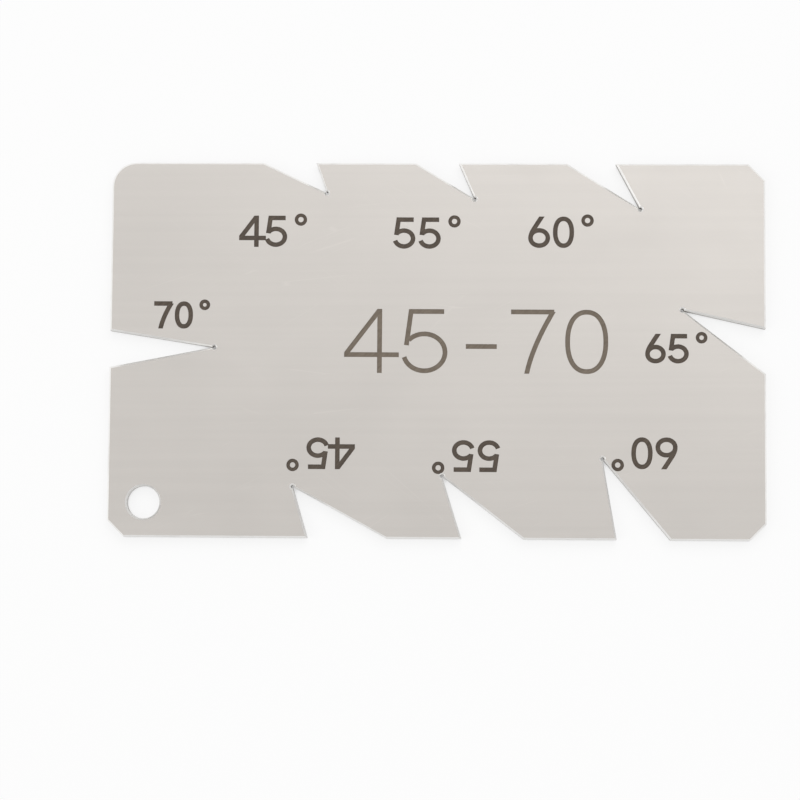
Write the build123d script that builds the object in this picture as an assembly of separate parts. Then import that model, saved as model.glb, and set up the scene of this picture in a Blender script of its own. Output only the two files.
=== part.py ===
from build123d import *
import os
from dataclasses import dataclass
from enum import Enum
from math import cos, radians, sin

# Valve seat angle gauge: one flat plate of stainless sheet with eight V notches
# let into its four edges, and a hole at one corner to hang it by.
#
# The rim that is tried in a notch has a flat face, square to its own axis, and a
# ground seat. Seat angles are counted from that axis, so the metal between face
# and seat fills what the seat angle leaves of a right angle. Each notch is cut
# to that rest: the flat face lies along one flank and the seat along the other.
#
# Millimetres and degrees. X runs along the plate, Y across it and Z up through
# the sheet. The origin is under the plate's middle, on the face it lies on.

plate_length = 80.0
plate_width = 46.0
plate_thickness = 1.5

# Three corners are cut off at 45 degrees. The top left one is rounded.
corner_cut = 2.0
corner_radius = 3.0

# Hanging hole in the bottom left corner, to its centre.
hole_diameter = 4.0
hole_from_left = 4.4
hole_from_bottom = 4.2

# Small round relief at the root of each notch, where the two flanks meet.
relief_diameter = 0.4

# The rims of both faces are broken at 45 degrees, so that they don't cut the hand.
edge_break = 0.2

# Angle between the rim's flat face and its axis.
square_angle = 90.0


class PlateEdge(Enum):
    """An edge of the plate, by the direction it faces, anticlockwise from +X."""

    RIGHT = 0.0
    TOP = 90.0
    LEFT = 180.0
    BOTTOM = 270.0


@dataclass(frozen=True)
class Notch:
    """One V notch, placed by its root.

    edge: the edge it opens through.
    seat_angle: the seat angle that it checks.
    along: the root's place along the edge, from the plate's centre line, towards +X or +Y.
    depth: the root's distance in from the edge.
    lean: turn of the notch's middle line away from square to the edge, anticlockwise.
    """

    edge: PlateEdge
    seat_angle: float
    along: float
    depth: float
    lean: float

    @property
    def root(self):
        """The point where the flanks would meet."""
        half_length = plate_length / 2
        half_width = plate_width / 2
        roots = {
            PlateEdge.TOP: (self.along, half_width - self.depth),
            PlateEdge.BOTTOM: (self.along, self.depth - half_width),
            PlateEdge.RIGHT: (half_length - self.depth, self.along),
            PlateEdge.LEFT: (self.depth - half_length, self.along),
        }
        return roots[self.edge]

    def flank_end(self, turn):
        """Where the cutter's side ends, at this turn from square to the edge.

        The cutter reaches as far out past the edge as the root lies in from it.
        """
        reach = 2 * self.depth / cos(radians(turn))
        heading = radians(self.edge.value + turn)
        root_x, root_y = self.root
        return (root_x + reach * cos(heading), root_y + reach * sin(heading))

    def cutter(self):
        """The flat shape that cutting the notch takes away: a V, and the relief at its root."""
        half_angle = (square_angle - self.seat_angle) / 2
        one_end = self.flank_end(self.lean - half_angle)
        other_end = self.flank_end(self.lean + half_angle)
        vee = make_face(Polyline(self.root, one_end, other_end, close=True))
        return vee + Pos(*self.root) * Circle(relief_diameter / 2)


notches = [
    Notch(PlateEdge.TOP, seat_angle=45.0, along=-13.6, depth=3.7, lean=42.0),
    Notch(PlateEdge.TOP, seat_angle=55.0, along=4.55, depth=4.4, lean=41.0),
    Notch(PlateEdge.TOP, seat_angle=60.0, along=24.8, depth=5.6, lean=43.0),
    Notch(PlateEdge.RIGHT, seat_angle=65.0, along=5.0, depth=10.1, lean=-25.0),
    Notch(PlateEdge.BOTTOM, seat_angle=60.0, along=20.2, depth=9.8, lean=25.0),
    Notch(PlateEdge.BOTTOM, seat_angle=55.0, along=0.75, depth=7.6, lean=35.0),
    Notch(PlateEdge.BOTTOM, seat_angle=45.0, along=-17.4, depth=6.2, lean=39.0),
    Notch(PlateEdge.LEFT, seat_angle=70.0, along=0.2, depth=12.8, lean=1.0),
]


def plate_blank():
    """The sheet's outline before it is notched: three corners cut and one rounded."""
    blank = Rectangle(plate_length, plate_width)
    top_left = blank.vertices().filter_by(lambda corner: corner.X < 0 < corner.Y)
    blank = fillet(top_left, corner_radius)
    others = blank.vertices().filter_by(lambda corner: corner.X > 0 or corner.Y < 0)
    return chamfer(others, corner_cut)


def hanging_hole():
    """The round hole in the bottom left corner."""
    centre_x = hole_from_left - plate_length / 2
    centre_y = hole_from_bottom - plate_width / 2
    return Pos(centre_x, centre_y) * Circle(hole_diameter / 2)


def gauge_plate():
    """The finished plate: notched, drilled and with the rims of both faces broken."""
    outline = plate_blank() - hanging_hole()
    for notch in notches:
        outline -= notch.cutter()
    plate = extrude(outline, amount=plate_thickness)
    faces = plate.faces().sort_by(Axis.Z)
    rims = faces[0].edges() + faces[-1].edges()
    return chamfer(rims, edge_break)


os.makedirs("parts", exist_ok=True)
export_step(gauge_plate(), "parts/gauge_plate.step")
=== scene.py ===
"""The looks of the valve seat angle gauge: a flat plate of satin stainless sheet.

The plate keeps the form of its solid. Each notch's seat angle is burnt into its upper
face as a shallow groove with a dark floor and a straw coloured rim of heat, and the range
that the gauge covers stands in its middle. Lengths are in millimetres until a mesh is made.
"""

import logging
from collections.abc import Callable, Iterator, Sequence
from dataclasses import dataclass, replace
from enum import Enum, IntEnum

import bmesh
import bpy
import numpy as np
from mathutils import Matrix, Vector


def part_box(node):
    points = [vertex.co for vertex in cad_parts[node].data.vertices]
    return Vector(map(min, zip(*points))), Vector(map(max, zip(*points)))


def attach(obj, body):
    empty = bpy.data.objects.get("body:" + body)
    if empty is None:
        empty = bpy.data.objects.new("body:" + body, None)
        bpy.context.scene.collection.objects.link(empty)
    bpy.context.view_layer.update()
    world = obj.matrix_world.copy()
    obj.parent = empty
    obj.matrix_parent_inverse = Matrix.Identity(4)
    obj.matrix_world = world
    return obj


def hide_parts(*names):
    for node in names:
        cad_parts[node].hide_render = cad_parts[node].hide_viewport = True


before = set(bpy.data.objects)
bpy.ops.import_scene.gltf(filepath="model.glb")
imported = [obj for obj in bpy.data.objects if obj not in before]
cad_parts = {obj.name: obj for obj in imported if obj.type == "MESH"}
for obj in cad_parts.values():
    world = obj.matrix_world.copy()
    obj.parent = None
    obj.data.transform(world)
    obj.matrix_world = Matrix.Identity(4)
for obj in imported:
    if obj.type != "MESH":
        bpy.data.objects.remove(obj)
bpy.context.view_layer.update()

MILLIMETRE = 0.001
PLATE_NODE = "gauge_plate"
PLATE_BODY = "root"
PLATE_PIECE = "engraved_plate"
HEAT = "heat"
PHOTO_WIDTH = 800
WHITE = (1.0, 1.0, 1.0, 1.0)

# Nearly all of a smooth noise lies in this range.
NOISE_SPAN = (0.3, 0.7)

# A pair is a point on the plate or a range, and a triple is a place or a size in space.
Points = np.ndarray
Pair = tuple[float, float]
Triple = tuple[float, float, float]
Colour = tuple[float, float, float]
Mesh = bpy.types.Mesh
Object = bpy.types.Object
Material = bpy.types.Material
Socket = bpy.types.NodeSocket


def new_object(name: str, data: bpy.types.ID) -> Object:
    """Make an object of some data, and put it in the scene.

    Args:
        name: the object's name.
        data: its mesh, lamp or camera.

    Returns:
        The object.
    """
    thing = bpy.data.objects.new(name, data)
    bpy.context.scene.collection.objects.link(thing)
    return thing


class StrokeEnd(Enum):
    """How a stroke of a number is cut off at its ends."""

    SQUARE = "square to the stroke"
    LEVEL = "level with the line of writing"


class Facing(Enum):
    """Which way up a line of writing stands, by the sign of its own two directions."""

    UPRIGHT = 1.0
    TURNED = -1.0


class Surface(IntEnum):
    """The plate's surfaces, by their place among its materials. The burnt ones are the last two."""

    SHEET = 0
    RIM = 1
    WALL = 2
    ROOT = 3
    LABEL = 4
    RANGE = 5


@dataclass(frozen=True)
class Stroke:
    """One stroke of a number, with the number's height as its unit.

    path: the points of its centre line, one row each.
    closed: whether the last point runs on to the first.
    end: how both ends of an open stroke are cut.
    thin: its width, as a share of the width of the other strokes.
    """

    path: Points
    closed: bool = False
    end: StrokeEnd = StrokeEnd.SQUARE
    thin: float = 1.0


def line(*points: Pair) -> Points:
    """Straight runs from point to point.

    Args:
        points: the corners, in order.

    Returns:
        The same corners, one row each.
    """
    return np.array(points, float)


def arc(centre: Pair, radii: Pair, start: float, end: float, steps: int) -> Points:
    """Part of an ellipse: its centre, plus its radii times the cosine and sine of an even turn.

    Args:
        centre: the ellipse's centre.
        radii: its half width and half height.
        start: the first point's turn from +X, in degrees.
        end: the last point's turn.
        steps: the number of runs between the points.

    Returns:
        The points, one row each.
    """
    turns = np.radians(np.linspace(start, end, steps + 1))
    return np.array(centre) + np.array(radii) * np.column_stack((np.cos(turns), np.sin(turns)))


def loop(centre: Pair, radii: Pair, steps: int, squareness: float = 2.0) -> Points:
    """A superellipse, which is an ellipse that may fill out its corners.

    The size of each cosine and sine of an even turn is raised to two parts in the squareness.

    Args:
        centre: the loop's centre.
        radii: its half width and half height.
        steps: the number of points round it.
        squareness: 2 is an ellipse, and more fills out its corners.

    Returns:
        The points, one row each.
    """
    turns = np.linspace(0.0, 2.0 * np.pi, steps, endpoint=False)
    wave = np.column_stack((np.cos(turns), np.sin(turns)))
    return np.array(centre) + np.array(radii) * np.sign(wave) * np.abs(wave) ** (2.0 / squareness)


def bend(start: Pair, pull: Pair, end: Pair, steps: int) -> Points:
    """A quadratic curve.

    With t for the share of the way along it, and s for what t leaves of 1, a point is
    s squared times the start, plus twice s times t times the pull, plus t squared times the end.

    Args:
        start: the first point.
        pull: the point that both ends of the curve head for.
        end: the last point.
        steps: the number of runs between the points.

    Returns:
        The points, one row each.
    """
    t = np.linspace(0.0, 1.0, steps + 1)[:, None]
    return (1 - t) ** 2 * np.array(start) + 2 * t * (1 - t) * np.array(pull) + t**2 * np.array(end)


def zero(half: float) -> tuple[Stroke, ...]:
    """Draw a 0.

    Args:
        half: half the width of its stroke.

    Returns:
        An upright oval.
    """
    centre = (0.3325, 0.5)
    radii = (centre[0] - half, centre[1] - half)
    return (Stroke(loop(centre, radii, steps=56, squareness=2.25), closed=True),)


def four(half: float) -> tuple[Stroke, ...]:
    """Draw a 4.

    The outer edge of its slope runs straight from the corner of the stem to the corner of the bar.

    Args:
        half: half the width of its strokes.

    Returns:
        The stem, the slope and the bar.
    """
    stem = 0.55
    bar = 0.285
    bar_end = 0.85
    corners = line((stem - half, 1.0), (0.0, bar + half))
    along = corners[1] - corners[0]
    inwards = np.array((-along[1], along[0])) / np.linalg.norm(along)
    upright = Stroke(line((stem, 1.0), (stem, 0.0)))
    slope = Stroke(corners + half * inwards)
    return (upright, slope, Stroke(line((0.0, bar), (bar_end, bar))))


def five(half: float) -> tuple[Stroke, ...]:
    """Draw a 5.

    Args:
        half: half the width of its strokes.

    Returns:
        The angle at its top, and its bowl.
    """
    top = 1.0 - half
    angle = line((0.625, top), (0.075 + half, top), (0.005 + half, 0.435))
    centre = (0.32, 0.325)
    radii = (0.36 - half, centre[1] - half)
    bowl = arc(centre, radii, start=138.0, end=-165.0, steps=36)
    return (Stroke(angle), Stroke(bowl))


def six(half: float) -> tuple[Stroke, ...]:
    """Draw a 6.

    Args:
        half: half the width of its strokes.

    Returns:
        Its bowl, and the arm that rises from the bowl's left side.
    """
    centre = (0.345, 0.315)
    bowl = loop(centre, (centre[0] - half, centre[1] - half), steps=48, squareness=2.05)
    tip = line((0.36 + half, 1.0))
    curve = bend((0.12 + half, 0.63), (half, 0.45), (half, 0.31), steps=12)
    arm = np.vstack((tip, curve))
    return (Stroke(bowl, closed=True), Stroke(arm, end=StrokeEnd.LEVEL))


def seven(half: float) -> tuple[Stroke, ...]:
    """Draw a 7. The outer edge of its leg starts at the lower corner of the bar.

    Args:
        half: half the width of its strokes.

    Returns:
        The bar and the leg.
    """
    width = 0.67
    top = 1.0 - half
    inset = 0.57 * half
    bar = line((0.0, top), (width, top))
    leg = bend((width - inset, top), (0.33, 0.42), (0.245, 0.0), steps=14)
    return (Stroke(bar), Stroke(leg, end=StrokeEnd.LEVEL))


def degree(half: float) -> tuple[Stroke, ...]:
    """Draw a small ring, with a thinner stroke than the others.

    Args:
        half: half the width of the other strokes.

    Returns:
        The ring.
    """
    thin = 0.77
    reach = 0.196
    centre = (0.305, 0.875)
    radius = reach - thin * half
    return (Stroke(loop(centre, (radius, radius), steps=36), closed=True, thin=thin),)


def dash(half: float) -> tuple[Stroke, ...]:
    """Draw a level dash. It has the same place and length at any half width."""
    level = 0.42
    return (Stroke(line((0.08, level), (0.56, level))),)


@dataclass(frozen=True)
class Numeral:
    """A number or sign, with the height of a number as its unit.

    width: its width.
    room: the room left before the next one.
    draw: gives its strokes, from half the width that a stroke has.
    """

    width: float
    room: float
    draw: Callable[[float], tuple[Stroke, ...]]


NUMERALS = {
    "0": Numeral(0.665, 0.12, zero),
    "4": Numeral(0.76, 0.085, four),
    "5": Numeral(0.68, 0.125, five),
    "6": Numeral(0.69, 0.09, six),
    "7": Numeral(0.67, 0.09, seven),
    "°": Numeral(0.50, 0.10, degree),
    "–": Numeral(0.60, 0.10, dash),
}


@dataclass(frozen=True)
class Writing:
    """One line of plain numbers on the plate's upper face.

    text: the numbers and signs, from left to right.
    start: where its line begins, on the plate.
    height: the height of its numbers.
    stroke: the width of their strokes.
    surface: the surface that its grooves have.
    facing: which way up it stands.
    spacing: the room that it adds between its numbers, as a share of their height.
    """

    text: str
    start: Pair
    height: float
    stroke: float
    surface: Surface = Surface.LABEL
    facing: Facing = Facing.UPRIGHT
    spacing: float = 0.0

    @property
    def width(self) -> float:
        """Add up the widths of its signs and the rooms between them.

        Returns:
            The length of the line.
        """
        signs = [NUMERALS[sign] for sign in self.text]
        rooms = sum(sign.room + self.spacing for sign in signs[:-1])
        return self.height * (sum(sign.width for sign in signs) + rooms)

    def strokes(self) -> Iterator[tuple[int, Stroke, Points]]:
        """Set the numbers side by side.

        Returns:
            Each stroke's place in its number, the stroke, and its centre line on the plate.
        """
        half = self.stroke / self.height / 2
        reached = 0.0
        for sign in self.text:
            numeral = NUMERALS[sign]
            for order, stroke in enumerate(numeral.draw(half)):
                along = (stroke.path + (reached, 0.0)) * self.height * self.facing.value
                yield order, stroke, along + self.start
            reached += numeral.width + numeral.room + self.spacing


@dataclass(frozen=True)
class Groove:
    """The section of the grooves that the numbers are burnt in as.

    depth: depth of the floor below the face.
    slope: how far each side leans in on its way down.
    heat_width: width of the rim of heat along both sides.
    heat_depth: how far the rim lies below the face.
    deeper: how much deeper each later stroke of a number is cut, so that no two cuts share a plane.
    clearance: how far the cutting shape stands out of the face.
    """

    depth: float = 0.05
    slope: float = 0.02
    heat_width: float = 0.09
    heat_depth: float = 0.003
    deeper: float = 0.001
    clearance: float = 0.1

    def normals(self, path: Points, closed: bool) -> Points:
        """Sideways directions along a path.

        Each has a part of 1 along the normal of both runs that meet at its point: the sum of the
        two normals, over 1 plus their product.

        Args:
            path: the points of the path.
            closed: whether the last point runs on to the first.

        Returns:
            One direction for each point.
        """
        runs = np.roll(path, -1, axis=0) - path
        runs /= np.linalg.norm(runs, axis=1)[:, None]
        after = np.column_stack((-runs[:, 1], runs[:, 0]))
        before = np.roll(after, 1, axis=0)
        if not closed:
            after[-1] = before[-1]
            before[0] = after[0]
        return (before + after) / (1.0 + np.sum(before * after, axis=1))[:, None]

    def lengthened(self, path: Points, sideways: Points) -> tuple[Points, Points]:
        """Add two points at each end of an open path.

        One lies past the end by the width of the rim, and one inside it by the slope.

        Args:
            path: the points of the path.
            sideways: the path's sideways directions.

        Returns:
            The longer path, and its sideways directions.
        """
        first = path[1] - path[0]
        last = path[-1] - path[-2]
        first /= np.linalg.norm(first)
        last /= np.linalg.norm(last)
        head = path[0] + np.outer((-self.heat_width, 0.0, self.slope), first)
        tail = path[-1] + np.outer((-self.slope, 0.0, self.heat_width), last)
        points = np.vstack((head, path[1:-1], tail))
        directions = np.vstack((sideways[[0, 0, 0]], sideways[1:-1], sideways[[-1, -1, -1]]))
        return points, directions

    def cutter(
        self, writing: Writing, order: int, stroke: Stroke, path: Points, face: float
    ) -> "Shell":
        """Carry the groove's section along one stroke.

        The section's eight points lie at fixed distances to the side of the path and at fixed
        levels. Over the rim past an open end, all of them but the two that stand out of the face
        lie at the rim's level.

        Args:
            writing: the line of numbers that the stroke belongs to.
            order: the stroke's place in its number.
            stroke: the stroke.
            path: its centre line on the plate.
            face: the level of the plate's upper face.

        Returns:
            The closed shape that the groove is cut with.
        """
        half = writing.stroke * stroke.thin / 2
        outer = half + self.heat_width
        floor = half - self.slope
        sunk = self.deeper * order
        top = face + self.clearance
        rim = face - self.heat_depth - sunk
        bottom = face - self.depth - sunk
        sides = np.array((-outer, -outer, -half, -floor, floor, half, outer, outer))
        levels = np.array((top, rim, rim, bottom, bottom, rim, rim, top))
        sideways = self.normals(path, stroke.closed)
        if stroke.end is StrokeEnd.LEVEL:
            ends = [0, -1]
            sideways[ends] = np.column_stack((1.0 / sideways[ends, 0], np.zeros(2)))
        if not stroke.closed:
            path, sideways = self.lengthened(path, sideways)
        rings = np.empty((len(path), len(sides), 3))
        rings[:, :, :2] = path[:, None] + sideways[:, None] * sides[:, None]
        rings[:, :, 2] = levels
        burnt = np.zeros((len(path), len(sides)), bool)
        # The faces between the section's points 2 and 5 are the slopes and the floor.
        burnt[:, 2:5] = True
        if not stroke.closed:
            rings[[0, 1, -2, -1], 1:-1, 2] = rim
            burnt[[0, -2]] = False
        surfaces = np.where(burnt, writing.surface, Surface.SHEET)
        return Shell.from_rings(rings, surfaces, stroke.closed)


@dataclass
class Shell:
    """A closed shape.

    points: its points, one row each.
    faces: the corners of each of its faces, by the places of their points.
    surfaces: the surface that each face has.
    """

    points: Points
    faces: list[Sequence[int]]
    surfaces: np.ndarray

    @classmethod
    def from_rings(cls, rings: Points, surfaces: np.ndarray, closed: bool) -> "Shell":
        """Join each ring of points to the next with four-sided faces.

        An open row of rings is closed with two lids.

        Args:
            rings: the points, by ring, then by place in the ring.
            surfaces: the surface of the face that starts at each point.
            closed: whether the last ring joins the first.

        Returns:
            The closed surface.
        """
        count, size = rings.shape[:2]
        number = np.arange(count * size).reshape(count, size)
        here = number if closed else number[:-1]
        there = np.roll(number, -1, axis=0)[: len(here)]
        corners = (here, np.roll(here, -1, axis=1), np.roll(there, -1, axis=1), there)
        faces = np.stack(corners, axis=-1).reshape(-1, 4).tolist()
        kinds = surfaces[: len(here)].ravel()
        if not closed:
            faces += [number[0].tolist(), number[-1, ::-1].tolist()]
            kinds = np.append(kinds, (Surface.SHEET, Surface.SHEET))
        return cls(rings.reshape(-1, 3), faces, kinds)

    @classmethod
    def joined(cls, shells: Sequence["Shell"]) -> "Shell":
        """Put several shells that don't touch into one.

        Args:
            shells: the shells.

        Returns:
            One shell that holds them all.
        """
        starts = np.cumsum([0] + [len(shell.points) for shell in shells[:-1]])
        faces = [
            [corner + int(start) for corner in face]
            for shell, start in zip(shells, starts)
            for face in shell.faces
        ]
        points = np.vstack([shell.points for shell in shells])
        return cls(points, faces, np.concatenate([shell.surfaces for shell in shells]))

    @classmethod
    def merged_copy(cls, source: Mesh, tolerance: float) -> "Shell":
        """Copy a mesh of loose triangles, with the corners that lie at one point made one.

        Args:
            source: the mesh, in metres.
            tolerance: how far apart such corners may lie, in millimetres.

        Returns:
            The copy, in millimetres.
        """
        points = np.empty(len(source.vertices) * 3)
        source.vertices.foreach_get("co", points)
        points = points.reshape(-1, 3) / MILLIMETRE
        corners = np.empty(len(source.loops), int)
        source.loops.foreach_get("vertex_index", corners)
        cells = np.round(points / tolerance)
        _, kept, number = np.unique(cells, axis=0, return_index=True, return_inverse=True)
        faces = number.ravel()[corners].reshape(-1, 3)
        whole = (faces != np.roll(faces, 1, axis=1)).all(axis=1)
        return cls(points[kept], faces[whole].tolist(), np.zeros(int(whole.sum()), int))

    def mesh(self, name: str, materials: Sequence[Material]) -> Mesh:
        """Make the surface a mesh, in metres, with its faces pointing outwards.

        Args:
            name: the mesh's name.
            materials: the material of each surface, in order.

        Returns:
            The mesh.
        """
        mesh = bpy.data.meshes.new(name)
        mesh.from_pydata((self.points * MILLIMETRE).tolist(), [], self.faces)
        for material in materials:
            mesh.materials.append(material)
        mesh.polygons.foreach_set("material_index", self.surfaces.astype(np.int32))
        shape = bmesh.new()
        shape.from_mesh(mesh)
        bmesh.ops.recalc_face_normals(shape, faces=shape.faces)
        shape.to_mesh(mesh)
        shape.free()
        mesh.update()
        return mesh


@dataclass(frozen=True)
class Spots:
    """Smooth noise with spots of one size.

    size: the spots' size along their own directions.
    turn: their turn about Z, in degrees.
    detail: how many finer layers the noise has.
    layer_strength: how strong each layer is beside the one before it.
    """

    size: Triple
    turn: float = 0.0
    detail: float = 2.0
    layer_strength: float = 0.55


@dataclass(frozen=True)
class Hairlines:
    """Long thin scratches: the edges of stretched cells, broken up by noise.

    size: the cells' size along their own directions.
    turn: the lines' turn about Z, in degrees.
    width: the lines' half width, as a share of a cell.
    gaps: the size of the spots of noise that break the lines up.
    gap_span: the noise at which a line is gone and at which it is whole.
    """

    size: Triple
    turn: float
    width: float
    gaps: Triple = (6.0, 6.0, 6.0)
    gap_span: Pair = (0.52, 0.62)


class FinishNodes:
    """The nodes of one finish. Patterns are read on the piece's own coordinates."""

    def __init__(self, name: str) -> None:
        """Start a material that holds only its shader.

        Args:
            name: the material's name.
        """
        self.material = bpy.data.materials.new(name)
        self.material.use_nodes = True
        self.tree = self.material.node_tree
        self.tree.nodes.clear()
        self.output = self.tree.nodes.new("ShaderNodeOutputMaterial")
        self.shader = self.tree.nodes.new("ShaderNodeBsdfPrincipled")
        self.tree.links.new(self.shader.outputs["BSDF"], self.output.inputs["Surface"])
        self.place = self.tree.nodes.new("ShaderNodeTexCoord").outputs["Object"]

    def add(self, kind: str, inputs: dict[str | int, object], **settings: object) -> bpy.types.Node:
        """Add a node.

        Args:
            kind: the node's type.
            inputs: what each input takes, another node's output or a plain value.
            settings: the node's own settings.

        Returns:
            The node.
        """
        node = self.tree.nodes.new(kind)
        for name, value in settings.items():
            setattr(node, name, value)
        for name, value in inputs.items():
            self.feed(node.inputs[name], value)
        return node

    def feed(self, socket: Socket, value: object) -> None:
        """Give an input what it takes.

        Args:
            socket: the input.
            value: another node's output or a plain value.
        """
        if isinstance(value, Socket):
            self.tree.links.new(value, socket)
        else:
            socket.default_value = value

    def worked_out(self, operation: str, *values: Socket | float) -> Socket:
        """Work a value out of others.

        Args:
            operation: the sum's name.
            values: what it is worked out of, in order.

        Returns:
            The value.
        """
        return self.add("ShaderNodeMath", dict(enumerate(values)), operation=operation).outputs[0]

    def placed(self, size: Triple, turn: float = 0.0) -> Socket:
        """Coordinates that grow by 1 over a pattern's size, turned with the pattern about Z.

        Args:
            size: the pattern's size along its own directions, in millimetres.
            turn: the pattern's turn, in degrees.

        Returns:
            The coordinates.
        """
        inputs = {
            "Vector": self.place,
            "Rotation": (0.0, 0.0, np.radians(turn)),
            "Scale": tuple(length * MILLIMETRE for length in size),
        }
        return self.add("ShaderNodeMapping", inputs, vector_type="TEXTURE").outputs["Vector"]

    def noise(self, spots: Spots) -> Socket:
        """Smooth noise.

        Args:
            spots: its spots.

        Returns:
            The noise, about 0.5 on average.
        """
        inputs = {
            "Vector": self.placed(spots.size, spots.turn),
            "Scale": 1.0,
            "Detail": spots.detail,
            "Roughness": spots.layer_strength,
        }
        return self.add("ShaderNodeTexNoise", inputs).outputs[0]

    def hairlines(self, lines: Hairlines) -> Socket:
        """Long thin lines.

        Args:
            lines: their size, turn, width and gaps.

        Returns:
            1 on a line and 0 away from it.
        """
        inputs = {"Vector": self.placed(lines.size, lines.turn), "Scale": 1.0, "Randomness": 1.0}
        cells = self.add("ShaderNodeTexVoronoi", inputs, feature="DISTANCE_TO_EDGE")
        whole = self.spread(cells.outputs["Distance"], (0.0, lines.width), (1.0, 0.0))
        breaks = self.spread(self.noise(Spots(lines.gaps, lines.turn)), lines.gap_span)
        return self.worked_out("MULTIPLY", whole, breaks)

    def spread(self, value: Socket, source: Pair, target: Pair = (0.0, 1.0)) -> Socket:
        """Carry a value from one range over to another, and hold it inside.

        Args:
            value: the value.
            source: the range that it has.
            target: the range that it gets.

        Returns:
            The new value.
        """
        inputs = {
            "Value": value,
            "From Min": source[0],
            "From Max": source[1],
            "To Min": target[0],
            "To Max": target[1],
        }
        return self.add("ShaderNodeMapRange", inputs).outputs["Result"]

    def blend(self, share: Socket, first: Socket | Colour, second: Socket | Colour) -> Socket:
        """Mix two colours.

        Args:
            share: how much of the second colour there is.
            first: the first colour.
            second: the second colour.

        Returns:
            The mixed colour.
        """
        ends = [(*end, 1.0) if isinstance(end, tuple) else end for end in (first, second)]
        # A mix of colours has its share, both colours and its result at these places.
        inputs = {0: share, 6: ends[0], 7: ends[1]}
        return self.add("ShaderNodeMix", inputs, data_type="RGBA").outputs[2]

    def shades(self, share: Socket, colour: Colour, change: float) -> Socket:
        """Vary a colour between a darker and a lighter shade.

        Args:
            share: 0 gives the darker shade and 1 the lighter one.
            colour: the colour between them.
            change: how far each is from it, as a share of it.

        Returns:
            The varied colour.
        """
        return self.blend(share, shaded(colour, 1.0 - change), shaded(colour, 1.0 + change))

    def relief(self, *layers: tuple[Socket, float]) -> None:
        """Give the shader a fine relief, the sum of some patterns.

        Args:
            layers: each pattern, and its height in millimetres.
        """
        total = 0.0
        for pattern, rise in layers:
            total = self.worked_out("MULTIPLY_ADD", pattern, rise, total)
        inputs = {"Height": total, "Distance": MILLIMETRE, "Strength": 1.0}
        bump = self.add("ShaderNodeBump", inputs)
        self.feed(self.shader.inputs["Normal"], bump.outputs["Normal"])

    def shade(self, **inputs: object) -> Material:
        """Set the shader's inputs.

        Args:
            inputs: what each input takes, by its name with low lines for spaces.

        Returns:
            The material.
        """
        for name, value in inputs.items():
            self.feed(self.shader.inputs[name.replace("_", " ")], value)
        return self.material


def shaded(colour: Colour, light: float) -> Colour:
    """A colour made lighter or darker by a factor."""
    return tuple(part * light for part in colour)


@dataclass(frozen=True)
class SatinSheet:
    """The face of the sheet: satin grain along the plate, faint clouds, scratches and heat.

    colour: the steel's own colour.
    clouds, cloud_shade: large soft spots, and how far they change the colour.
    streaks, streak_shade: long stripes, and how far they change it.
    streak_span: the noise at which a stripe is darkest and at which it is lightest.
    grain, grain_height: the satin grain, and its relief.
    mixing: the range of the stripes' share of the colour, which follows the grain.
    scratches, scratch_height: the sets of scratches, and their depth.
    scratch_light, scratch_share: how bright they are beside the steel, and how far they cover it.
    heat_colour, heat_share: the colour of heated steel, and how much of it there is at most.
    smears, roughness: the spots of more and less gloss, and their range.
    """

    colour: Colour = (0.60, 0.571, 0.540)
    clouds: Spots = Spots((24.0, 18.0, 18.0), turn=20.0, detail=3.0)
    cloud_shade: float = 0.035
    streaks: Spots = Spots((60.0, 0.8, 0.8), turn=0.4)
    streak_span: Pair = (0.35, 0.65)
    streak_shade: float = 0.02
    grain: Spots = Spots((9.0, 0.09, 0.09), detail=3.0)
    grain_height: float = 0.0006
    mixing: Pair = (0.4, 0.6)
    scratches: tuple[Hairlines, ...] = (
        Hairlines((70.0, 2.6, 2.6), turn=24.0, width=0.006),
        Hairlines((50.0, 3.4, 3.4), turn=-37.0, width=0.005),
        Hairlines((90.0, 1.8, 1.8), turn=3.0, width=0.007),
    )
    scratch_height: float = 0.0015
    scratch_light: float = 1.18
    scratch_share: float = 0.25
    heat_colour: Colour = (0.40, 0.31, 0.22)
    heat_share: float = 0.8
    smears: Spots = Spots((7.0, 5.0, 5.0), turn=-30.0, detail=4.0)
    roughness: Pair = (0.395, 0.445)

    def material(self) -> Material:
        """Make the finish a material.

        Returns:
            The material.
        """
        nodes = FinishNodes("satin_sheet")
        grain = nodes.noise(self.grain)
        streaks = nodes.noise(self.streaks)
        clouds = nodes.noise(self.clouds)
        scratches = [nodes.hairlines(lines) for lines in self.scratches]
        clouded = nodes.shades(nodes.spread(clouds, NOISE_SPAN), self.colour, self.cloud_shade)
        streaked = nodes.shades(
            nodes.spread(streaks, self.streak_span), self.colour, self.streak_shade
        )
        colour = nodes.blend(nodes.spread(grain, (0.0, 1.0), self.mixing), clouded, streaked)
        for scratch in scratches:
            faint = nodes.spread(scratch, (0.0, 1.0), (0.0, self.scratch_share))
            colour = nodes.blend(faint, colour, shaded(self.colour, self.scratch_light))
        heat = nodes.add("ShaderNodeAttribute", {}, attribute_name=HEAT).outputs["Fac"]
        heated = nodes.spread(heat, (0.0, 1.0), (0.0, self.heat_share))
        colour = nodes.blend(heated, colour, self.heat_colour)
        roughness = nodes.spread(nodes.noise(self.smears), NOISE_SPAN, self.roughness)
        cuts = [(scratch, -self.scratch_height) for scratch in scratches]
        nodes.relief((grain, self.grain_height), *cuts)
        return nodes.shade(Base_Color=colour, Metallic=1.0, Roughness=roughness)


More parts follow.
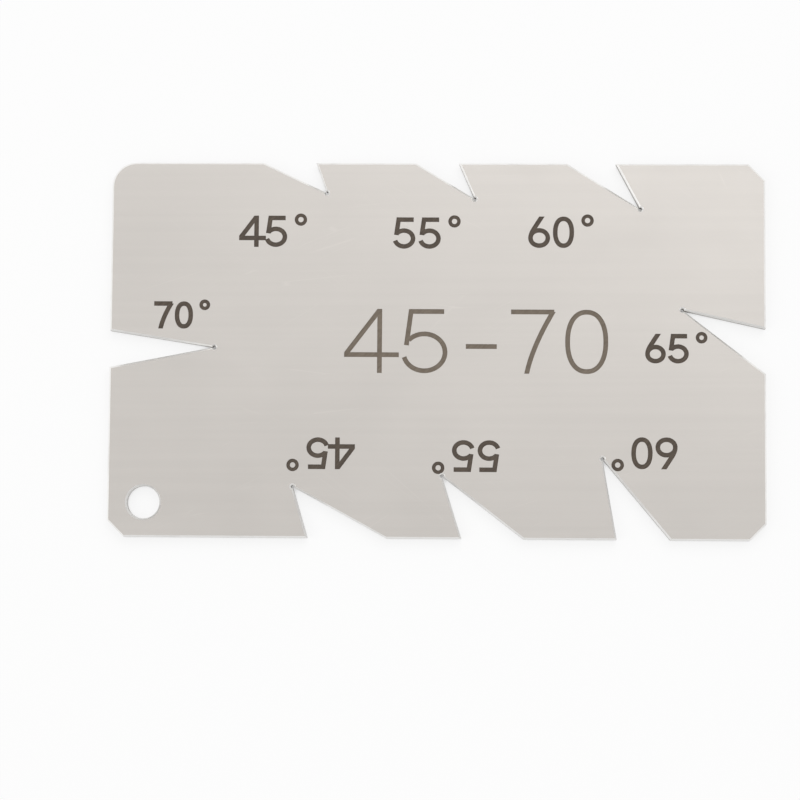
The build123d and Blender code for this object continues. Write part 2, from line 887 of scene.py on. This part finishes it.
@dataclass(frozen=True)
class RimWearAndSheen:
    """The broken edges round both faces: rubbed metal with fine scratches and duller spots, made
    lighter by a painted highlight.

    colour, dull_colour: the rim's colour with its painted highlight, and its colour in the duller
    spots.
    spots, spot_span: the duller spots, and the noise at which they start and are whole.
    scratches, scratch_height: the fine scratches, and their relief.
    roughness: the range of its gloss.
    """

    colour: Colour = (0.93, 0.92, 0.90)
    dull_colour: Colour = (0.83, 0.815, 0.795)
    spots: Spots = Spots((2.4, 2.4, 2.4), detail=3.0)
    spot_span: Pair = (0.5, 0.75)
    scratches: Spots = Spots((0.12, 0.12, 0.12))
    scratch_height: float = 0.0015
    roughness: Pair = (0.28, 0.42)

    def material(self) -> Material:
        """Make the finish a material.

        Returns:
            The material.
        """
        nodes = FinishNodes("rim_wear_and_sheen")
        scratches = nodes.noise(self.scratches)
        spots = nodes.noise(self.spots)
        dull = nodes.spread(spots, self.spot_span)
        # The rim is lighter than the face's steel: a painted highlight on the rubbed edge, duller in
        # spots.
        colour = nodes.blend(dull, self.colour, self.dull_colour)
        roughness = nodes.spread(spots, NOISE_SPAN, self.roughness)
        nodes.relief((scratches, self.scratch_height))
        return nodes.shade(Base_Color=colour, Metallic=1.0, Roughness=roughness)


@dataclass(frozen=True)
class CutWall:
    """The walls that cutting the sheet leaves: upright furrows under a smoother, brighter band,
    partly a painted highlight.

    name: the finish's name.
    colour, furrow_colour: the wall's colour below the band, darker partly as a painted shade towards
    the foot, and its colour in the furrows.
    band_colour, band_share: the band's colour, lighter partly as a painted highlight under the face,
    and how much of it there is at most.
    band: the levels at which the band starts and is whole.
    furrows, furrow_height: the furrows, and their relief.
    patches: the patches of more and less gloss, which make the band's edge uneven too.
    unevenness: how far that edge wanders up and down.
    roughness: the range of the wall's gloss.
    metallic: how much of it is bare metal.
    """

    name: str
    colour: Colour
    furrow_colour: Colour
    band_colour: Colour
    band_share: float = 0.85
    band: Pair = (0.75, 1.10)
    furrows: Spots = Spots((0.10, 0.10, 2.5))
    furrow_height: float = 0.005
    patches: Spots = Spots((3.0, 3.0, 0.8))
    unevenness: float = 0.5
    roughness: Pair = (0.36, 0.52)
    metallic: float = 0.9

    def material(self) -> Material:
        """Make the finish a material.

        Returns:
            The material.
        """
        nodes = FinishNodes(self.name)
        furrows = nodes.noise(self.furrows)
        patches = nodes.noise(self.patches)
        place = nodes.add("ShaderNodeSeparateXYZ", {"Vector": nodes.placed((1.0, 1.0, 1.0))})
        uneven = nodes.worked_out("MULTIPLY_ADD", patches, self.unevenness, place.outputs["Z"])
        lift = self.unevenness / 2
        edge = (self.band[0] + lift, self.band[1] + lift)
        colour = nodes.blend(nodes.spread(furrows, NOISE_SPAN), self.furrow_colour, self.colour)
        # The upper band is lighter and the wall below it darker: partly the cut's own zones, partly a
        # painted highlight under the face and a painted shade towards the foot.
        banded = nodes.spread(uneven, edge, (0.0, self.band_share))
        colour = nodes.blend(banded, colour, self.band_colour)
        roughness = nodes.spread(patches, NOISE_SPAN, self.roughness)
        nodes.relief((furrows, self.furrow_height))
        return nodes.shade(Base_Color=colour, Metallic=self.metallic, Roughness=roughness)


@dataclass(frozen=True)
class BurntMark:
    """Oxide that was burnt in with close passes side by side, paler in some places.

    name: the finish's name.
    colour, pale_colour: the oxide's colour, and its colour where it is palest.
    passes, pass_height: the passes, and their relief.
    patches: the patches of paler oxide.
    pale_span: the product of both noises at which the oxide is darkest and palest.
    roughness: the range of its gloss.
    metallic: how much of it is bare metal.
    """

    name: str
    colour: Colour
    pale_colour: Colour
    passes: Spots = Spots((1.4, 0.055, 0.055), turn=45.0, detail=1.0)
    pass_height: float = 0.006
    patches: Spots = Spots((0.9, 0.9, 0.9), detail=3.0)
    pale_span: Pair = (0.12, 0.42)
    roughness: Pair = (0.6, 0.8)
    metallic: float = 0.25

    def material(self) -> Material:
        """Make the finish a material.

        Returns:
            The material.
        """
        nodes = FinishNodes(self.name)
        passes = nodes.noise(self.passes)
        patches = nodes.noise(self.patches)
        paler = nodes.spread(nodes.worked_out("MULTIPLY", passes, patches), self.pale_span)
        colour = nodes.blend(paler, self.colour, self.pale_colour)
        roughness = nodes.spread(patches, NOISE_SPAN, self.roughness)
        nodes.relief((passes, self.pass_height))
        return nodes.shade(Base_Color=colour, Metallic=self.metallic, Roughness=roughness)


@dataclass(frozen=True)
class PaleFloor:
    """A matt white floor that keeps the shadow.

    To the eye and in reflections a part of it is its own light, which fades where something closes in
    on the floor: a painted shade in crevices and along the plate's foot.

    colour: its colour.
    mottle, mottle_light: faint spots, and how bright the darker ones are.
    roughness, gloss: how rough it is, and how strong its gloss is.
    own_light: the part that is its own light, where the floor is open.
    crevice, probes: how near a thing has to be to close in on it, and how many rays look for one.
    openness: the shares of the sky left open at which the light is out and at which it is whole.
    """

    colour: Colour = (0.93, 0.93, 0.93)
    mottle: Spots = Spots((90.0, 90.0, 90.0))
    mottle_light: float = 0.99
    roughness: float = 0.9
    gloss: float = 0.1
    own_light: float = 0.8
    crevice: float = 0.5
    probes: int = 4
    openness: Pair = (0.0, 0.7)

    def material(self) -> Material:
        """Make the finish a material.

        Returns:
            The material.
        """
        nodes = FinishNodes("pale_floor")
        darker = shaded(self.colour, self.mottle_light)
        colour = nodes.blend(nodes.noise(self.mottle), darker, self.colour)
        nodes.shade(Base_Color=colour, Roughness=self.roughness, Specular_IOR_Level=self.gloss)
        light = nodes.add("ShaderNodeEmission", {"Color": WHITE, "Strength": 1.0})
        # The own light fades where the plate closes in on the floor: a painted shade in the holes and
        # along the plate's foot.
        near = {"Distance": self.crevice * MILLIMETRE}
        sky = nodes.add("ShaderNodeAmbientOcclusion", near, samples=self.probes).outputs["AO"]
        own_light = nodes.spread(sky, self.openness, (0.0, self.own_light))
        share = nodes.worked_out("MULTIPLY", seen_directly(nodes.tree), own_light)
        inputs = {0: share, 1: nodes.shader.outputs["BSDF"], 2: light.outputs["Emission"]}
        mixed = nodes.add("ShaderNodeMixShader", inputs)
        nodes.feed(nodes.output.inputs["Surface"], mixed.outputs[0])
        return nodes.material


def seen_directly(tree: bpy.types.NodeTree) -> Socket:
    """Find out whether a ray comes from the camera, from a reflection or through glass.

    Args:
        tree: the nodes to add this to.

    Returns:
        1 if it does and 0 if not.
    """
    path = tree.nodes.new("ShaderNodeLightPath").outputs
    total = path["Is Camera Ray"]
    for kind in ("Is Glossy Ray", "Is Transmission Ray"):
        most = tree.nodes.new("ShaderNodeMath")
        most.operation = "MAXIMUM"
        tree.links.new(total, most.inputs[0])
        tree.links.new(path[kind], most.inputs[1])
        total = most.outputs[0]
    return total


@dataclass
class GaugePlate:
    """The one piece of the gauge, with its numbers.

    label_height: height of the numbers beside the notches.
    label_stroke: width of their strokes.
    range_height: height of the numbers of the range in the middle.
    range_stroke: width of their strokes.
    range_spacing: the room added between them, as a share of their height.
    range_centre: the middle of the range.
    groove: the section of the grooves that both are cut as.
    merge_distance: corners of the solid that lie nearer to each other than this are one.
    slopes: the parts along Z of the normals that part the walls from the rims, and the rims
        from the faces.
    root_facet: a facet of a wall that is narrower than this belongs to the round root of a notch.
    shortest_edge: an edge that the cuts leave shorter than this is closed up.
    crease: faces that meet at more than this angle have a sharp edge between them.
    """

    label_height: float = 3.87
    label_stroke: float = 0.56
    range_height: float = 7.85
    range_stroke: float = 0.58
    range_spacing: float = 0.08
    range_centre: Pair = (4.8, 1.05)
    groove: Groove = Groove()
    merge_distance: float = 0.0005
    slopes: Pair = (0.3, 0.95)
    root_facet: float = 0.25
    shortest_edge: float = 0.0001
    crease: float = 30.0

    def label(
        self, angle: int, start: Pair, facing: Facing = Facing.UPRIGHT, height: float | None = None
    ) -> Writing:
        """Write a notch's seat angle.

        Args:
            angle: the angle, in degrees.
            start: where its line begins, on the plate.
            facing: which way up it stands.
            height: the height of its numbers, where it isn't the usual one.

        Returns:
            The label.
        """
        height = height or self.label_height
        return Writing(f"{angle}°", start, height, self.label_stroke, facing=facing)

    def labels(self) -> list[Writing]:
        """Write the seat angles beside the eight notches.

        Returns:
            The labels. Those along the bottom edge are read from the other side.
        """
        return [
            self.label(45, (-24.30, 12.57)),
            self.label(55, (-5.32, 12.41)),
            self.label(60, (11.11, 12.57)),
            self.label(65, (25.36, -1.54), height=3.62),
            self.label(60, (29.27, -10.55), Facing.TURNED),
            self.label(55, (7.70, -11.02), Facing.TURNED),
            self.label(45, (-9.85, -10.78), Facing.TURNED),
            self.label(70, (-34.62, 2.45), height=3.36),
        ]

    def range_marking(self) -> Writing:
        """Write the range of angles that the gauge covers.

        Returns:
            The range, centred on its place in the middle of the plate.
        """
        unplaced = Writing(
            "45–70",
            start=(0.0, 0.0),
            height=self.range_height,
            stroke=self.range_stroke,
            surface=Surface.RANGE,
            spacing=self.range_spacing,
        )
        left = self.range_centre[0] - unplaced.width / 2
        lower = self.range_centre[1] - self.range_height / 2
        return replace(unplaced, start=(left, lower))

    def cutters(self, face: float) -> list[Shell]:
        """Make the shapes that the numbers are cut with. Strokes that cross come in different shapes.

        Args:
            face: the level of the plate's upper face.

        Returns:
            One shape for each place that a stroke has in its number.
        """
        layers: dict[int, list[Shell]] = {}
        for writing in (*self.labels(), self.range_marking()):
            for order, stroke, path in writing.strokes():
                cutter = self.groove.cutter(writing, order, stroke, path, face)
                layers.setdefault(order, []).append(cutter)
        return [Shell.joined(layers[order]) for order in sorted(layers)]

    def engraved(self, blank: Mesh, cutters: Sequence[Mesh]) -> Mesh:
        """Cut the numbers' grooves into the plate.

        Args:
            blank: the plate without its numbers.
            cutters: the shapes to cut with, one after the other.

        Returns:
            The plate with its grooves.
        """
        plate = new_object("plate_blank", blank)
        tools = [new_object("cutter", cutter) for cutter in cutters]
        for tool in tools:
            cut = plate.modifiers.new("cut", "BOOLEAN")
            cut.operation = "DIFFERENCE"
            cut.solver = "EXACT"
            cut.material_mode = "INDEX"
            cut.object = tool
        graph = bpy.context.evaluated_depsgraph_get()
        mesh = bpy.data.meshes.new_from_object(plate.evaluated_get(graph))
        for thing in (plate, *tools):
            used = thing.data
            bpy.data.objects.remove(thing)
            bpy.data.meshes.remove(used)
        self.cleaned(mesh)
        return mesh

    def cleaned(self, mesh: Mesh) -> None:
        """Close up the edges that the cuts left too short to mean anything.

        Args:
            mesh: the engraved plate.
        """
        shape = bmesh.new()
        shape.from_mesh(mesh)
        shortest = self.shortest_edge * MILLIMETRE
        bmesh.ops.dissolve_degenerate(shape, dist=shortest, edges=shape.edges)
        shape.to_mesh(mesh)
        shape.free()

    def heated(self, mesh: Mesh) -> None:
        """Write how hot each corner got, so that the heat fades over the rim.

        It is 1 where the corner borders a burnt face and 0 elsewhere.

        Args:
            mesh: the engraved plate.
        """
        kinds = np.empty(len(mesh.polygons), np.int32)
        sizes = np.empty(len(mesh.polygons), np.int32)
        corners = np.empty(len(mesh.loops), np.int32)
        mesh.polygons.foreach_get("material_index", kinds)
        mesh.polygons.foreach_get("loop_total", sizes)
        mesh.loops.foreach_get("vertex_index", corners)
        burnt = np.repeat(kinds >= Surface.LABEL, sizes)
        heat = np.zeros(len(mesh.vertices), np.float32)
        heat[corners[burnt]] = 1.0
        mesh.attributes.new(HEAT, "FLOAT", "POINT").data.foreach_set("value", heat)

    def finishes(self) -> list[Material]:
        """Make the plate's finishes.

        Returns:
            The material of each of its surfaces, in their order.
        """
        finishes = {
            Surface.SHEET: SatinSheet(),
            Surface.RIM: RimWearAndSheen(),
            # The walls are darker below a lighter band: partly the cut's own zones, partly painted
            # shade at the foot and painted highlight under the face.
            Surface.WALL: CutWall(
                "cut_wall",
                colour=(0.52, 0.50, 0.48),
                furrow_colour=(0.31, 0.295, 0.28),
                band_colour=(0.76, 0.75, 0.73),
            ),
            # The notch roots are coloured much darker than the walls: a painted shade in the narrow
            # root of each notch.
            Surface.ROOT: CutWall(
                "root_painted_shade",
                colour=(0.30, 0.26, 0.23),
                furrow_colour=(0.17, 0.15, 0.13),
                band_colour=(0.42, 0.38, 0.35),
            ),
            Surface.LABEL: BurntMark(
                "burnt_label", colour=(0.068, 0.051, 0.038), pale_colour=(0.130, 0.103, 0.080)
            ),
            Surface.RANGE: BurntMark(
                "burnt_range", colour=(0.150, 0.120, 0.090), pale_colour=(0.240, 0.200, 0.158)
            ),
        }
        return [finishes[surface].material() for surface in Surface]

    def surfaced(self, shell: Shell) -> Shell:
        """Tell the plate's surfaces apart by how steep they are.

        The round root of a notch is told from its walls by its narrow facets.

        Args:
            shell: the plate without its numbers, in triangles.

        Returns:
            The same shape, with the surface of each of its faces.
        """
        corners = shell.points[np.array(shell.faces)]
        sides = np.roll(corners, -1, axis=1) - corners
        normals = np.cross(sides[:, 0], sides[:, 1])
        steepness = np.abs(normals[:, 2]) / np.linalg.norm(normals, axis=1)
        widths = np.linalg.norm(sides[:, :, :2], axis=2).max(axis=1)
        wall, rim = (steepness < slope for slope in self.slopes)
        choices = (wall & (widths < self.root_facet), wall, rim)
        kinds = np.select(choices, (Surface.ROOT, Surface.WALL, Surface.RIM), Surface.SHEET)
        return Shell(shell.points, shell.faces, kinds)

    def build(self) -> Object:
        """Make the plate, which stands for its solid.

        Returns:
            The finished piece.
        """
        finishes = self.finishes()
        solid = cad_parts[PLATE_NODE]
        shell = self.surfaced(Shell.merged_copy(solid.data, self.merge_distance))
        blank = shell.mesh("plate_blank", finishes)
        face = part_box(PLATE_NODE)[1].z / MILLIMETRE
        cutters = [cutter.mesh("cutter", finishes) for cutter in self.cutters(face)]
        mesh = self.engraved(blank, cutters)
        mesh.name = PLATE_PIECE
        self.heated(mesh)
        mesh.shade_smooth()
        mesh.set_sharp_from_angle(angle=np.radians(self.crease))
        piece = new_object(PLATE_PIECE, mesh)
        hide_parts(PLATE_NODE)
        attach(piece, PLATE_BODY)
        return piece


@dataclass(frozen=True)
class Lamp:
    """A square soft lamp, which shines at the middle of the floor.

    name: its name.
    place: where it hangs, in metres.
    side: the side of the square, in metres.
    power: its power, in watts.
    """

    name: str
    place: Triple
    side: float
    power: float

    def build(self) -> Object:
        """Hang the lamp.

        Returns:
            The lamp.
        """
        data = bpy.data.lights.new(self.name, "AREA")
        data.size = self.side
        data.energy = self.power
        lamp = new_object(self.name, data)
        lamp.location = self.place
        lamp.rotation_euler = Vector(self.place).to_track_quat("Z", "Y").to_euler()
        return lamp


@dataclass(frozen=True)
class Studio:
    """The floor, the light and the camera, in metres.

    tilt: the plate's turns about X, Y and Z as the camera sees it, in degrees.
    offset: where the plate's middle then lies from the camera, in millimetres.
    focal_pixels: the camera's focal length, in pixels of the photograph.
    sensor: the width of its sensor, in millimetres.
    clip: how near and how far it sees.
    ambient: the strength of the light from all round on matt surfaces.
    tent: its strength as it is seen, directly or in a reflection.
    floor_size: the side of the square floor.
    floor_gap: how far the floor lies under the plate.
    lamps: the lamps.
    """

    tilt: Triple = (-4.848, -1.703, -0.310)
    offset: Triple = (4.499, 5.997, -300.0)
    focal_pixels: float = 2449.5
    sensor: float = 36.0
    clip: Pair = (0.01, 50.0)
    ambient: float = 0.65
    tent: float = 0.712
    floor_size: float = 6.0
    floor_gap: float = 0.00002
    lamps: tuple[Lamp, ...] = (
        Lamp("key_lamp", (0.26, 0.66, 0.98), side=1.0, power=4.7),
        Lamp("fill_lamp", (-0.9, -0.3, 1.1), side=1.0, power=2.85),
        Lamp("rim_lamp", (-1.08, -0.26, 0.28), side=0.7, power=0.8),
    )

    def floor(self) -> Object:
        """Lay the floor just under the plate.

        Returns:
            The floor.
        """
        half = self.floor_size / 2
        sheet = np.array(((-half, -half), (half, -half), (half, half), (-half, half)))
        points = np.column_stack((sheet, np.full(len(sheet), -self.floor_gap)))
        mesh = bpy.data.meshes.new("floor")
        mesh.from_pydata(points.tolist(), [], [(0, 1, 2, 3)])
        mesh.materials.append(PaleFloor().material())
        floor = new_object("floor", mesh)
        return floor

    def world(self) -> bpy.types.World:
        """Light the scene evenly from all round, as inside a white tent.

        Returns:
            The world.
        """
        world = bpy.data.worlds.new("studio")
        world.use_nodes = True
        tree = world.node_tree
        tree.nodes.clear()
        output = tree.nodes.new("ShaderNodeOutputWorld")
        mixed = tree.nodes.new("ShaderNodeMixShader")
        tree.links.new(seen_directly(tree), mixed.inputs[0])
        for socket, strength in ((1, self.ambient), (2, self.tent)):
            light = tree.nodes.new("ShaderNodeBackground")
            light.inputs["Color"].default_value = WHITE
            light.inputs["Strength"].default_value = strength
            tree.links.new(light.outputs["Background"], mixed.inputs[socket])
        tree.links.new(mixed.outputs[0], output.inputs["Surface"])
        bpy.context.scene.world = world
        return world

    def camera(self) -> Object:
        """Stand the camera where the photograph was taken from.

        The plate's turns, about X first, and its offset make the change from the plate to the camera.
        The camera's place is that change undone.

        Returns:
            The camera.
        """
        data = bpy.data.cameras.new("camera")
        data.sensor_width = self.sensor
        data.lens = self.focal_pixels / PHOTO_WIDTH * self.sensor
        data.clip_start, data.clip_end = self.clip
        camera = new_object("camera", data)
        about_x, about_y, about_z = (
            Matrix.Rotation(np.radians(angle), 4, axis) for angle, axis in zip(self.tilt, "XYZ")
        )
        moved = Matrix.Translation(Vector(self.offset) * MILLIMETRE)
        camera.matrix_world = (moved @ about_z @ about_y @ about_x).inverted()
        bpy.context.scene.camera = camera
        return camera

    def build(self) -> list[Object]:
        """Set up the studio.

        Returns:
            The floor, the camera and the lamps.
        """
        self.world()
        bpy.context.scene.view_settings.view_transform = "Standard"
        return [self.floor(), self.camera(), *(lamp.build() for lamp in self.lamps)]


def main() -> None:
    """Build the gauge and the studio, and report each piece."""
    logging.basicConfig(level=logging.INFO, format="%(message)s")
    log = logging.getLogger("gauge")
    plate = GaugePlate().build()
    log.info("%s: %d faces", plate.name, len(plate.data.polygons))
    for thing in Studio().build():
        log.info("%s is in place", thing.name)


if __name__ == "__main__":
    main()
